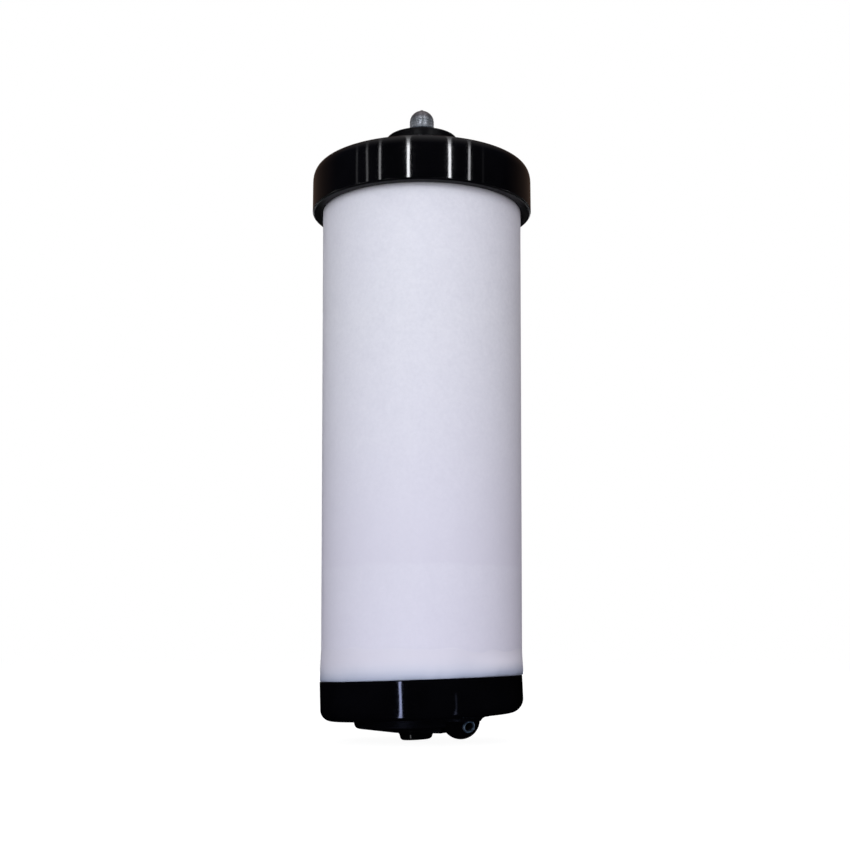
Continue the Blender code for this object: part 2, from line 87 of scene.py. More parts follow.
# ------------------------------------------------------------------ shader node helpers
class Nodes:
    """Adds nodes to a tree. Values may be sockets, numbers or tuples, and colours are RGB."""

    def __init__(self, tree):
        self.tree = tree

    def feed(self, node, inputs):
        for key, value in inputs.items():
            socket = node.inputs[key]
            if value is None:
                continue
            if isinstance(value, bpy.types.NodeSocket):
                self.tree.links.new(value, socket)
            elif isinstance(value, tuple) and len(socket.default_value) == 4:
                socket.default_value = (*value, 1)
            else:
                socket.default_value = value

    def add(self, kind, inputs=None, **props):
        node = self.tree.nodes.new("ShaderNode" + kind)
        for key, value in props.items():
            setattr(node, key, value)
        self.feed(node, inputs or {})
        return node

    def surface(self, inputs):
        self.feed(self.tree.nodes["Principled BSDF"], inputs)

    def position(self):
        return self.add("TexCoord").outputs["Object"]

    def split(self, vector):
        return self.add("SeparateXYZ", {0: vector}).outputs

    def stretched(self, vector, scale):
        mapping = self.add("Mapping", {"Scale": scale, "Vector": vector})
        return mapping.outputs["Vector"]

    def noise(self, vector, scale, detail, rough, warp=0.0):
        inputs = {"Scale": scale, "Detail": detail, "Roughness": rough, "Distortion": warp}
        return self.add("TexNoise", {**inputs, "Vector": vector}).outputs["Fac"]

    def ramp(self, factor, *stops):
        """stops are (position, colour)."""
        node = self.add("ValToRGB", {"Fac": factor})
        elements = node.color_ramp.elements
        while len(elements) > 1:
            elements.remove(elements[-1])
        elements[0].position = stops[0][0]
        elements[0].color = (*stops[0][1], 1)
        for place, color in stops[1:]:
            elements.new(place).color = (*color, 1)
        return node.outputs["Color"]

    def math(self, operation, a, b=None):
        return self.add("Math", {0: a, 1: b}, operation=operation).outputs[0]

    def times(self, a, b):
        return self.math("MULTIPLY", a, b)

    def plus(self, a, b):
        return self.math("ADD", a, b)

    def minus(self, a, b):
        return self.math("SUBTRACT", a, b)

    def remap(self, value, over, to=(0.0, 1.0)):
        """The range over becomes the range to, clamped."""
        inputs = {"Value": value, "From Min": over[0], "From Max": over[1]}
        inputs.update({"To Min": to[0], "To Max": to[1]})
        return self.add("MapRange", inputs).outputs["Result"]

    def mix(self, factor, a, b, blend="MIX"):
        node = self.add("Mix", data_type="RGBA", blend_type=blend)
        self.feed(node, {0: factor, 6: a, 7: b})
        return node.outputs[2]

    def bump(self, height, distance, strength, normal=None):
        inputs = {"Strength": strength, "Distance": distance, "Height": height, "Normal": normal}
        return self.add("Bump", inputs).outputs["Normal"]

    def edge_wear(self, amount):
        """Near amount on convex edges, from the geometry's pointiness."""
        pointiness = self.add("NewGeometry").outputs["Pointiness"]
        return self.remap(pointiness, over=(0.52, 0.60), to=(0.0, amount))


MATERIALS = {}


def new_material(name):
    mat = bpy.data.materials.new(name)
    mat.use_nodes = True
    MATERIALS[name] = mat
    return Nodes(mat.node_tree)


# ------------------------------------------------------------------ materials
def white_housing():
    nodes = new_material("white_housing")
    pos = nodes.position()
    fine = nodes.noise(pos, scale=900, detail=5, rough=0.62)
    mottle = nodes.noise(pos, scale=210, detail=4, rough=0.6, warp=0.4)
    cloud = nodes.noise(pos, scale=38, detail=2, rough=0.5)
    base = nodes.ramp(
        mottle,
        (0.30, (0.715, 0.715, 0.780)),
        (0.50, (0.750, 0.750, 0.812)),
        (0.72, (0.785, 0.783, 0.840)),
    )
    grain = nodes.ramp(fine, (0.32, (0.705, 0.707, 0.770)), (0.68, (0.790, 0.790, 0.850)))
    base = nodes.mix(0.55, base, grain)
    # tinted towards the foot
    z = nodes.split(pos)["Z"]
    low = nodes.remap(z, over=(0.02, 0.12), to=(1.0, 0.0))
    base = nodes.mix(nodes.times(low, 0.65), base, (0.726, 0.702, 0.848))
    # a faint ragged line low on the tube, with a darker band above it that fades upwards
    wander = nodes.noise(pos, scale=60, detail=3, rough=0.6)
    ragged = nodes.times(nodes.minus(wander, 0.5), 0.004)
    band_edge = nodes.remap(nodes.plus(z, ragged), over=(0.0488, 0.0500))
    fade = nodes.remap(z, over=(0.050, 0.085), to=(1.0, 0.0))
    darker_band = nodes.times(nodes.times(band_edge, fade), 0.5)
    base = nodes.mix(darker_band, base, (0.700, 0.680, 0.790))
    # painted shade: darker where the wall runs into the joint
    foot = nodes.remap(z, over=(0.0235, 0.0275), to=(1.0, 0.0))
    base = nodes.mix(nodes.times(foot, 0.25), base, (0.66, 0.66, 0.76))
    patches = nodes.times(nodes.remap(cloud, over=(0.4, 0.7)), 0.10)
    base = nodes.mix(patches, base, (0.68, 0.66, 0.76))
    soft = nodes.bump(mottle, distance=0.00005, strength=0.55)
    nodes.surface({
        "Base Color": base,
        "Roughness": nodes.remap(mottle, over=(0.3, 0.7), to=(0.44, 0.56)),
        "Specular IOR Level": 0.35,
        "Normal": nodes.bump(fine, distance=0.00002, strength=0.5, normal=soft),
    })


def white_sealant():
    nodes = new_material("white_sealant")
    pos = nodes.position()
    cloud = nodes.noise(pos, scale=90, detail=3, rough=0.5, warp=0.8)
    fine = nodes.noise(pos, scale=420, detail=2, rough=0.5)
    base = nodes.ramp(cloud, (0.3, (0.700, 0.690, 0.790)), (0.7, (0.760, 0.745, 0.840)))
    place = nodes.split(pos)
    ragged = nodes.times(nodes.minus(cloud, 0.5), 0.0016)
    # the height over the leaning joint, lowered on +X, so that the painted shade below reaches
    # higher there
    height = nodes.plus(place["Z"], ragged)
    height = nodes.minus(height, nodes.times(place["X"], math.tan(LEAN)))
    height = nodes.minus(height, nodes.remap(place["X"], over=(0.008, 0.028), to=(0.0, 0.0003)))
    # painted shade: bluish and darker towards the joint
    tint = nodes.ramp(
        nodes.remap(height, over=(0.0178, 0.0238)),
        (0.0, (0.22, 0.26, 0.35)),
        (0.08, (0.36, 0.41, 0.54)),
        (0.24, (0.50, 0.535, 0.665)),
        (0.46, (0.63, 0.645, 0.760)),
        (0.72, (0.700, 0.695, 0.800)),
        (1.0, (0.722, 0.706, 0.806)),
    )
    base = nodes.mix(0.88, base, tint)
    # painted sheen: a paler patch on +X, above the painted shade and below the upper edge
    right = nodes.remap(place["X"], over=(0.013, 0.022), to=(0.0, 0.58))
    clean = nodes.times(right, nodes.remap(height, over=(0.0190, 0.0215)))
    clean = nodes.times(clean, nodes.remap(height, over=(0.0225, 0.0262), to=(1.0, 0.0)))
    base = nodes.mix(clean, base, (0.90, 0.88, 0.98))
    soft = nodes.bump(cloud, distance=0.0002, strength=0.3)
    nodes.surface({
        "Base Color": base,
        "Roughness": nodes.remap(cloud, over=(0.3, 0.7), to=(0.40, 0.54)),
        "Specular IOR Level": 0.35,
        "Normal": nodes.bump(fine, distance=0.00003, strength=0.3, normal=soft),
    })


def black_gloss(name, dull=0.0, shine=0.5, under=(-0.80, -0.97), cap=False):
    """Polished black plastic. under gives the normal's Z over which it turns rougher and its
    specular level drops, a painted shade on the undersides;
    cap is for the leaning base cap, which is rougher and darkened the same way everywhere but on
    its wall and lower rounding."""
    nodes = new_material(name)
    pos = nodes.position()
    cloud = nodes.noise(pos, scale=55, detail=3, rough=0.55)
    speck = nodes.noise(pos, scale=1600, detail=2, rough=0.6)
    flattened = nodes.stretched(pos, scale=(1, 1, 14))
    scratch = nodes.noise(flattened, scale=260, detail=4, rough=0.65, warp=0.3)
    base = nodes.ramp(cloud, (0.3, (0.0008, 0.0008, 0.0011)), (0.7, (0.0022, 0.0022, 0.0030)))
    speckled = nodes.remap(speck, over=(0.35, 0.75), to=(0.2, 1.0))
    wear = nodes.times(nodes.edge_wear(0.55), speckled)
    base = nodes.mix(wear, base, (0.008, 0.008, 0.010))
    gloss = (0.045 + dull, 0.095 + dull * 1.3)
    rough = nodes.remap(scratch, over=(0.35, 0.75), to=gloss)
    normal_z = nodes.split(nodes.add("NewGeometry").outputs["Normal"])["Z"]
    matt = nodes.remap(normal_z, over=under)
    if cap:
        place = nodes.split(pos)
        level = nodes.minus(place["Z"], nodes.times(place["X"], math.tan(LEAN)))
        below = nodes.remap(level, over=(0.00705, 0.00690))
        above = nodes.remap(level, over=(0.01755, 0.01772))
        matt = nodes.math("MAXIMUM", matt, nodes.math("MAXIMUM", below, above))
    # matt parts, worn edges and specks are all rougher
    rough = nodes.plus(rough, nodes.times(matt, 0.30))
    rough = nodes.plus(rough, nodes.times(wear, 0.18))
    rough = nodes.plus(rough, nodes.times(nodes.remap(speck, over=(0.62, 0.8)), 0.05))
    wave = nodes.noise(nodes.stretched(pos, scale=(1, 1, 0.8)), scale=130, detail=1.5, rough=0.45)
    soft = nodes.bump(wave, distance=0.00006, strength=0.45)
    nodes.surface({
        "Base Color": base,
        "Roughness": rough,
        "IOR": 1.49,
        # painted shade: the specular level drops on the matt parts, so the undersides and the base
        # cap's top edge look darker
        "Specular IOR Level": nodes.remap(matt, over=(0.0, 1.0), to=(shine, min(0.07, shine))),
        "Normal": nodes.bump(speck, distance=0.000003, strength=0.4, normal=soft),
    })


def grained_black(name, scale, rough, cloud_scale, dark, light, gloss, strength):
    """A dull black with a fine grain. gloss is the roughness range."""
    nodes = new_material(name)
    pos = nodes.position()
    grain = nodes.noise(pos, scale=scale, detail=4, rough=rough)
    cloud = nodes.noise(pos, scale=cloud_scale, detail=3, rough=0.5)
    nodes.surface({
        "Base Color": nodes.ramp(cloud, (0.3, dark), (0.7, light)),
        "Roughness": nodes.remap(grain, over=(0.3, 0.7), to=gloss),
        "Normal": nodes.bump(grain, distance=0.00003, strength=strength),
    })


def metal(name, dark, light, rough, lines=1500, patches=0.35, grey=0.0, dome=False):
    """Turned metal. grey is how far it is from fully metallic; dome paints light and shade into
    the colour by height, for the dome nut.
    """
    nodes = new_material(name)
    pos = nodes.position()
    drawn = nodes.stretched(pos, scale=(0.02, 0.02, 1))
    turned = nodes.noise(drawn, scale=lines, detail=2, rough=0.5)
    cloud = nodes.noise(pos, scale=240, detail=3, rough=0.6)
    base = nodes.ramp(turned, (0.3, dark), (0.7, light))
    patchy = nodes.times(nodes.remap(cloud, over=(0.45, 0.75)), patches)
    base = nodes.mix(patchy, base, tuple(x * 0.62 for x in dark))
    base = nodes.mix(nodes.edge_wear(0.4), base, tuple(min(1, x * 1.2) for x in light))
    if dome:
        # painted light: painted shade at the foot, painted highlight bands on the side, and a warm
        # painted reflection over the crown
        shade = nodes.ramp(
            nodes.remap(nodes.split(pos)["Z"], over=(0.1870, 0.1943)),
            (0.0, (0.10, 0.11, 0.13)),
            (0.08, (0.38, 0.41, 0.44)),
            (0.18, (1.0, 1.0, 1.0)),
            (0.26, (1.0, 1.0, 1.0)),
            (0.37, (0.60, 0.62, 0.63)),
            (0.47, (0.78, 0.77, 0.78)),
            (0.58, (0.47, 0.43, 0.43)),
            (0.80, (0.58, 0.49, 0.47)),
            (1.0, (0.72, 0.67, 0.66)),
        )
        base = nodes.mix(1.0, base, shade, "MULTIPLY")
    nodes.surface({
        "Base Color": base,
        "Metallic": 1.0 - grey,
        "Roughness": nodes.remap(turned, over=(0.3, 0.7), to=(rough - 0.05, rough + 0.08)),
        "Normal": nodes.bump(turned, distance=0.000008, strength=0.4),
    })


def rod_steel(name, tint, rough):
    """Ground steel, rubbed along Z."""
    nodes = new_material(name)
    pos = nodes.position()
    rings = nodes.stretched(pos, scale=(0.04, 0.04, 1))
    ground = nodes.noise(rings, scale=2400, detail=2, rough=0.5)
    streaks = nodes.stretched(pos, scale=(1, 1, 0.015))
    rubbed = nodes.noise(streaks, scale=1100, detail=2, rough=0.5)
    base = nodes.ramp(ground, (0.3, (0.55, 0.55, 0.56)), (0.7, (0.64, 0.64, 0.65)))
    rub = nodes.remap(rubbed, over=(0.50, 0.75), to=(0.0, 0.35))
    base = nodes.mix(rub, base, (0.46, 0.46, 0.47))
    nodes.surface({
        "Base Color": nodes.mix(1.0, base, tint, "MULTIPLY"),
        "Metallic": 1.0,
        "Roughness": nodes.remap(ground, over=(0.3, 0.7), to=(rough, rough + 0.08)),
        "Normal": nodes.bump(ground, distance=0.000001, strength=0.3),
    })


def ceramic():
    nodes = new_material("white_ceramic")
    pos = nodes.position()
    pores = nodes.add("TexVoronoi", {"Scale": 1400, "Vector": pos}).outputs["Distance"]
    cloud = nodes.noise(pos, scale=70, detail=4, rough=0.6)
    base = nodes.ramp(cloud, (0.3, (0.78, 0.75, 0.67)), (0.7, (0.87, 0.85, 0.79)))
    pits = nodes.remap(pores, over=(0.0, 0.35), to=(0.35, 0.0))
    nodes.surface({
        "Base Color": nodes.mix(pits, base, (0.55, 0.52, 0.45)),
        "Roughness": 0.9,
        "Normal": nodes.bump(pores, distance=0.0001, strength=0.5),
    })


def lined_plastic(name, stretch, scale, cloud_scale, dark, light, gloss):
    """Pale plastic with fine lines, round it or along it as stretch sets."""
    nodes = new_material(name)
    pos = nodes.position()
    lines = nodes.noise(nodes.stretched(pos, scale=stretch), scale=scale, detail=3, rough=0.6)
    cloud = nodes.noise(pos, scale=cloud_scale, detail=3, rough=0.5)
    nodes.surface({
        "Base Color": nodes.ramp(cloud, (0.3, dark), (0.7, light)),
        "Roughness": nodes.remap(lines, over=(0.3, 0.7), to=gloss),
        "Normal": nodes.bump(lines, distance=0.00001, strength=0.4),
    })


white_housing()
white_sealant()
black_gloss("black_plastic")
black_gloss("black_head", under=(-0.06, -0.34))
black_gloss("black_cap", under=(-0.90, -0.99), cap=True)
black_gloss("black_satin", dull=0.26, shine=0.10)
grained_black(
    "black_moulding", scale=1300, rough=0.6, cloud_scale=60,
    dark=(0.012, 0.012, 0.013), light=(0.022, 0.022, 0.024), gloss=(0.36, 0.52), strength=0.5,
)
metal("stainless_steel", dark=(0.40, 0.40, 0.41), light=(0.66, 0.66, 0.67), rough=0.24)
rod_steel("rod_steel", tint=(1.0, 1.0, 1.0), rough=0.19)
rod_steel("eyelet_steel", tint=(0.46, 0.62, 0.82), rough=0.32)
# the dome nut's metal, with painted light and shade by height
metal(
    "satin_nickel", dark=(0.36, 0.38, 0.41), light=(0.50, 0.53, 0.57), rough=0.36,
    lines=1400, patches=0.30, grey=0.15, dome=True,
)
ceramic()
grained_black(
    "black_rubber", scale=1900, rough=0.65, cloud_scale=120,
    dark=(0.010, 0.010, 0.010), light=(0.024, 0.023, 0.022), gloss=(0.55, 0.78), strength=0.6,
)
lined_plastic(
    "white_acetal", stretch=(0.05, 0.05, 1), scale=3000, cloud_scale=90,
    dark=(0.72, 0.71, 0.66), light=(0.80, 0.79, 0.75), gloss=(0.32, 0.48),
)
lined_plastic(
    "barrel_plastic", stretch=(1, 1, 0.03), scale=1100, cloud_scale=60,
    dark=(0.60, 0.66, 0.69), light=(0.70, 0.76, 0.78), gloss=(0.12, 0.24),
)
metal("brass", dark=(0.48, 0.32, 0.10), light=(0.72, 0.52, 0.22), rough=0.26)


# ------------------------------------------------------------------ mesh helpers
def smooth(mesh, degrees):
    """Smooth shading, with edges sharper than this kept sharp."""
    mesh.shade_smooth()
    mesh.set_sharp_from_angle(angle=math.radians(degrees))


for name, obj in NODES.items():
    obj.data.materials.clear()
    obj.data.materials.append(MATERIALS[SLOT_OF[name]])
    smooth(obj.data, 30)


def cad_size(node):
    """A CAD node's low and high corners in millimetres."""
    low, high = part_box(node)
    return Vector(low) / MM, Vector(high) / MM


def finish_mesh(bm, name, material=None, sharp=32.0):
    bmesh.ops.remove_doubles(bm, verts=bm.verts, dist=1e-7)
    bmesh.ops.recalc_face_normals(bm, faces=bm.faces)
    mesh = bpy.data.meshes.new(name)
    bm.to_mesh(mesh)
    bm.free()
    smooth(mesh, sharp)
    obj = bpy.data.objects.new(name, mesh)
    scene.collection.objects.link(obj)
    if material:
        mesh.materials.append(MATERIALS[material])
    return obj


def rounded(points, steps):
    """A polyline of (r, z) from points of (r, z) or (r, z, fillet)."""
    outline = []
    for i, point in enumerate(points):
        if len(point) == 2:
            outline.append(point)
            continue
        corner = Vector(point[:2])
        back = Vector(points[i - 1][:2]) - corner
        ahead = Vector(points[(i + 1) % len(points)][:2]) - corner
        back_dir, ahead_dir = back.normalized(), ahead.normalized()
        half = back_dir.angle(ahead_dir) / 2
        # the fillet shrinks where a side is too short for it
        run = min(point[2] / math.tan(half), back.length * 0.499, ahead.length * 0.499)
        fillet = run * math.tan(half)
        centre = corner + (back_dir + ahead_dir).normalized() * (fillet / math.sin(half))
        start, end = corner + back_dir * run - centre, corner + ahead_dir * run - centre
        angle0 = math.atan2(start.y, start.x)
        sweep = (math.atan2(end.y, end.x) - angle0 + math.pi) % (2 * math.pi) - math.pi
        for j in range(steps + 1):
            angle = angle0 + sweep * j / steps
            outline.append((
                centre.x + fillet * math.cos(angle),
                centre.y + fillet * math.sin(angle),
            ))
    return outline


def lathe(name, points, material, segs, at=(0.0, 0.0), closed=True, shift=None, sharp=32.0):
    """Turns (r, z) points about the upright axis at (x, y), as a ring when closed, else as a
    solid from axis to axis. shift(angle, r, z) gives a moved (r, z)."""
    bm = bmesh.new()
    rows = []
    for r, z in points:
        if not closed and r < 1e-6:
            rows.append([bm.verts.new((at[0] * MM, at[1] * MM, z * MM))])
            continue
        row = []
        for s in range(segs):
            angle = 2 * math.pi * s / segs
            radius, height = shift(angle, r, z) if shift else (r, z)
            x = (at[0] + radius * math.cos(angle)) * MM
            y = (at[1] + radius * math.sin(angle)) * MM
            row.append(bm.verts.new((x, y, height * MM)))
        rows.append(row)
    count = len(rows)
    for i in range(count if closed else count - 1):
        row, following = rows[i], rows[(i + 1) % count]
        for s in range(segs):
            t = (s + 1) % segs
            if len(row) == 1:
                bm.faces.new((row[0], following[s], following[t]))
            elif len(following) == 1:
                bm.faces.new((row[s], following[0], row[t]))
            else:
                bm.faces.new((row[s], following[s], following[t], row[t]))
    return finish_mesh(bm, name, material, sharp)


def extra(obj, body):
    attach(obj, body)


def put(obj, node):
    """obj stands for a CAD node: it goes on that node's body, and the node is hidden."""
    extra(obj, BODY_OF[node])
    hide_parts(node)


def lean(obj):
    obj.data.transform(LEAN_MATRIX)
    return obj


def boolean(obj, cutter, operation="DIFFERENCE"):
    """Cuts or joins obj with cutter, which is used up."""
    mod = obj.modifiers.new("cut", "BOOLEAN")
    mod.operation = operation
    mod.solver = "EXACT"
    mod.object = cutter
    depsgraph = bpy.context.evaluated_depsgraph_get()
    mesh = bpy.data.meshes.new_from_object(obj.evaluated_get(depsgraph))
    obj.modifiers.clear()
    mats = list(obj.data.materials)
    obj.data = mesh
    mesh.materials.clear()
    for mat in mats:
        mesh.materials.append(mat)
    mesh.polygons.foreach_set("material_index", [0] * len(mesh.polygons))
    bpy.data.objects.remove(cutter, do_unlink=True)


def cylinder(name, radius, z0, z1, segs, at=(0, 0), material=None):
    bm = bmesh.new()
    bmesh.ops.create_cone(
        bm, cap_ends=True, segments=segs,
        radius1=radius * MM, radius2=radius * MM, depth=(z1 - z0) * MM,
    )
    centre = (at[0] * MM, at[1] * MM, (z0 + z1) / 2 * MM)
    bmesh.ops.translate(bm, vec=centre, verts=bm.verts)
    return finish_mesh(bm, name, material)


# the matching threads of tube and head: a round ridge that runs out into the wall at its ends
THREAD_R, THREAD_PITCH, THREAD_TURNS = 1.1, 4.0, 1.25
THREAD_TAPER = 0.12  # share of the length over which each end runs out


def thread(name, radius, z0, start_deg, material, per_turn=96, sides=12):
    bm = bmesh.new()
    steps = int(THREAD_TURNS * per_turn)
    taper = steps * THREAD_TAPER
    rows = []
    for i in range(steps + 1):
        angle = math.radians(start_deg) + 2 * math.pi * i / per_turn
        full = min(1.0, i / taper, (steps - i) / taper)
        ridge = THREAD_R * (0.25 + 0.75 * math.sin(full * math.pi / 2))
        z = z0 + THREAD_PITCH * i / per_turn
        row = []
        for s in range(sides):
            turn = 2 * math.pi * s / sides
            r = radius + ridge * math.cos(turn)
            x, y = r * math.cos(angle) * MM, r * math.sin(angle) * MM
            row.append(bm.verts.new((x, y, (z + ridge * math.sin(turn)) * MM)))
        rows.append(row)
    for row, following in zip(rows, rows[1:]):
        for s in range(sides):
            t = (s + 1) % sides
            bm.faces.new((row[s], following[s], following[t], row[t]))
    bm.faces.new(rows[0])
    bm.faces.new(list(reversed(rows[-1])))
    return finish_mesh(bm, name, material)


def waves(seed, terms, low, high):
    """A smooth periodic function of an angle, as a seeded sum of sines, about -1 to 1."""
    rnd = random.Random(seed)
    parts = [
        (rnd.randint(low, high), rnd.uniform(0, 2 * math.pi), rnd.uniform(0.5, 1.0))
        for _ in range(terms)
    ]
    total = sum(part[2] for part in parts) * 0.6
    return lambda a: sum(w * math.sin(k * a + phase) for k, phase, w in parts) / total


def arc_deg(start, stop, count):
    return [math.radians(degrees) for degrees in np.linspace(start, stop, count)]


# ------------------------------------------------------------------ housing tube
TUBE_HIGH = cad_size("housing_tube")[1]
TUBE_TOP = TUBE_HIGH.z
WALL_TOP_R, WALL_LOW_R = TUBE_HIGH.x - 0.02, 29.58  # the wall is drafted, wider at the top
WALL_FOOT = 23.3
NECK_R, NECK_Z = 29.35, 160.2

tube_points = [
    (27.0, TUBE_TOP, 0.4),
    (NECK_R, TUBE_TOP, 0.5),
    (NECK_R, NECK_Z, 0.35),
    (WALL_TOP_R, NECK_Z, 0.45),
]
tube_points += [
    (WALL_LOW_R + (WALL_TOP_R - WALL_LOW_R) * (z - WALL_FOOT) / (NECK_Z - WALL_FOOT), z)
    for z in np.linspace(NECK_Z - 1.0, 24.2, 42)
]
tube_points += [
    (WALL_LOW_R, WALL_FOOT, 0.25), (29.0, WALL_FOOT),
    (29.0, 19.2), (28.1, 19.2), (28.1, 10.4), (26.5, 10.4), (27.0, 158.2),
]
sink = waves(5, terms=5, low=2, high=7)


def tube_shift(angle, r, z):
    """Slight sink marks, on the outer wall only."""
    if r > 29.4 and z < 159.0:
        return r + 0.02 * sink(angle + z * 0.004), z
    return r, z


put(
    lathe("housing_tube_shell", rounded(tube_points, 4), "white_housing", 192, shift=tube_shift),
    "housing_tube",
)
tube_thread = thread("housing_tube_thread", NECK_R - 0.05, 162.4, 0.0, "white_housing")
extra(tube_thread, "housing")

# ------------------------------------------------------------------ sealant bead, uneven
blob = waves(11, terms=6, low=5, high=19)
drift = waves(12, terms=4, low=2, high=6)
wavy = waves(13, terms=7, low=9, high=34)


def bead_shift(angle, r, z):
    # the lower edge follows the leaning cap
    foot = min(1.0, max(0.0, (21.8 - z) / 3.0))
    tilt = foot * math.tan(LEAN) * r * math.cos(angle)
    if r < 29.54:
        return r, z + tilt
    top = min(1.0, max(0.0, (z - 20.4) / 2.2))
    feather = min(1.0, max(0.0, (26.6 - z) / 2.4))
    lump = max(0.0, 0.5 + 0.5 * blob(angle)) ** 1.6
    swell = 0.06 * lump * top + 0.012 * drift(angle) + 0.006 * wavy(angle) * top
    rise = top * (0.5 * lump - 0.2 + 0.05 * wavy(angle))
    return r + feather * swell, z + tilt + rise


# (r, z), up the hidden inner side, then down the outer face
BEAD = [
    (29.3, 23.0), (29.45, 23.2), (29.52, 26.9), (29.58, 26.5), (29.605, 25.7), (29.63, 24.9),
    (29.665, 24.1), (29.705, 23.3), (29.75, 22.5), (29.80, 21.7), (29.84, 20.9), (29.87, 20.1),
    (29.88, 19.3), (29.875, 18.7), (29.85, 18.2), (29.78, 17.93), (29.5, 17.86), (29.2, 18.15),
]
put(
    lathe("joint_sealant_bead", BEAD, "white_sealant", 360, shift=bead_shift, sharp=60),
    "joint_sealant",
)

# ------------------------------------------------------------------ base cap
BASE_R, BASE_LOW, BASE_HIGH = 29.78, 6.85, 17.8
PAD_X, PAD_R, PAD_EDGE, PAD_Z = -1.8, 18.4, 4.2, 2.5
RIB_CORE, RIB_ROUND, RIB_Z = 3.4, 1.35, 3.65
INLET = (-1.6, 0.0)
OUTLET, OUTLET_R, OUTLET_Z = (11.1, -11.87), 5.5, 6.45


def base_shift(angle, r, z):
    """Raises the lower rounding on the +X side, and lowers the underside a shade on -X."""
    if z > 10.3:
        return r, z
    right, left = max(0.0, math.cos(angle)), max(0.0, -math.cos(angle))
    return r, z + 1.0 * right**2 * max(0.0, (r - 24.0) / 5.8) ** 1.3 - 0.44 * left * r / 29.8


def hull_of(name, ends, levels, segs=40):
    """The convex hull of upright rounded discs, given by (radius, z) levels."""
    bm = bmesh.new()
    for centre_x, centre_y in ends:
        for r, z in levels:
            for i in range(segs):
                angle = 2 * math.pi * i / segs
                x, y = centre_x + r * math.cos(angle), centre_y + r * math.sin(angle)
                bm.verts.new((x * MM, y * MM, z * MM))
    hull = bmesh.ops.convex_hull(bm, input=bm.verts)
    unused = hull["geom_interior"] + hull["geom_unused"]
    inside = {v for v in unused if isinstance(v, bmesh.types.BMVert)}
    bmesh.ops.delete(bm, geom=list(inside), context="VERTS")
    return finish_mesh(bm, name)


base_points = [
    (0.0, BASE_HIGH), (BASE_R, BASE_HIGH, 0.2), (BASE_R, BASE_LOW, 3.3),
    (22.0, BASE_LOW), (0.0, BASE_LOW),
]
base = lean(lathe(
    "base_cap_shell", rounded(base_points, 12), "black_cap", 192, closed=False, shift=base_shift,
))
bore_points = [(0.0, 30.0), (28.4, 30.0), (28.4, 10.1), (0.0, 10.1)]
boolean(base, lathe("bore", bore_points, None, 192, closed=False))

# the shallow domed pad, with a soft root
pad_points = [
    (0.0, 8.3), (PAD_R + 1.7, 8.3), (PAD_R + 1.7, 6.8), (PAD_R + 0.1, 6.75, 1.4),
    (PAD_R - 0.5, PAD_EDGE, 1.4), (6.6, PAD_Z, 6.0), (0.0, PAD_Z),
]
pad = lathe("pad", rounded(pad_points, 8), None, 128, at=(PAD_X, 0.0), closed=False)
boolean(base, lean(pad), "UNION")

# the rib over the clean-water gallery, from the nipple to the outlet
rib_levels = [(4.9, 8.0), (RIB_CORE + RIB_ROUND, 4.2)]
for degrees in range(0, 91, 15):
    angle = math.radians(degrees)
    rib_levels.append((
        RIB_CORE + RIB_ROUND * math.cos(angle),
        RIB_Z - RIB_ROUND * math.sin(angle),
    ))
boolean(base, lean(hull_of("gallery_rib", ((0.5, -1.6), (8.5, -9.4)), rib_levels)), "UNION")

# (r, z) of the flared root where the outlet's seat runs out into the cap's underside
FLARE = [
    (0.0, 8.0), (8.2, 8.0), (8.2, 7.4), (7.4, 7.3), (6.8, 7.12),
    (6.3, 6.8), (6.0, 6.45), (5.85, 6.1), (0.0, 6.1),
]
boolean(base, lathe("outlet_flare", FLARE, None, 72, at=OUTLET, closed=False), "UNION")
boolean(base, cylinder("recess", OUTLET_R + 0.12, 0.5, BASE_LOW, 96, OUTLET))
boolean(base, cylinder("inlet_bore", 3.3, 1.0, 11.0, 48, INLET))
smooth(base.data, 28)
put(base, "base_cap")

# ------------------------------------------------------------------ inlet nipple
nipple_points = [
    (2.0, 9.8), (3.0, 9.8), (3.0, 2.75), (5.9, 2.75, 0.1),
    (4.9, 1.75, 0.8), (4.45, 0.0, 1.9), (2.0, 0.0, 0.35),
]


def spout_shift(angle, r, z):
    """The end is cut a little out of square."""
    return r, z + max(0.0, 1.0 - z / 2.7) * 0.055 * (4.5 + r * math.cos(angle))


put(
    lathe(
        "inlet_nipple_spout", rounded(nipple_points, 8), "black_plastic", 96,
        at=INLET, shift=spout_shift,
    ),
    "inlet_nipple",
)

# ------------------------------------------------------------------ outlet ball with its eyelet
EYELET_DIR = Vector((0.42, -0.84, -0.34)).normalized()
SEAT_Z = OUTLET_Z - 0.15


def along(points, name, material=None, closed=False):
    """Turned about the eyelet's axis, z measured out from the ball's centre."""
    obj = lathe(name, points, material, 64, closed=closed)
    turn = EYELET_DIR.to_track_quat("Z", "Y").to_matrix().to_4x4()
    obj.data.transform(Matrix.Translation(Vector((*OUTLET, OUTLET_Z)) * MM) @ turn)
    return obj


ball_points = [(0.0, 9.8), (2.3, 9.8), (2.3, SEAT_Z), (OUTLET_R - 0.2, SEAT_Z)]
ball_points += [
    (OUTLET_R * math.cos(angle), OUTLET_Z + OUTLET_R * math.sin(angle))
    for angle in arc_deg(-2, -88, 30)
]
ball_points += [(0.0, OUTLET_Z - OUTLET_R)]
ball = lathe(
    "outlet_boss_ball", ball_points, "black_plastic", 96, at=OUTLET, closed=False, sharp=40,
)
boolean(ball, along([(0, 9.0), (2.05, 9.0), (2.05, 4.55), (0, 4.55)], "counterbore"))
boolean(ball, along([(0, 9.0), (1.2, 9.0), (1.2, 0.6), (0, 0.6)], "side_bore"))
smooth(ball.data, 34)
put(ball, "outlet_boss")

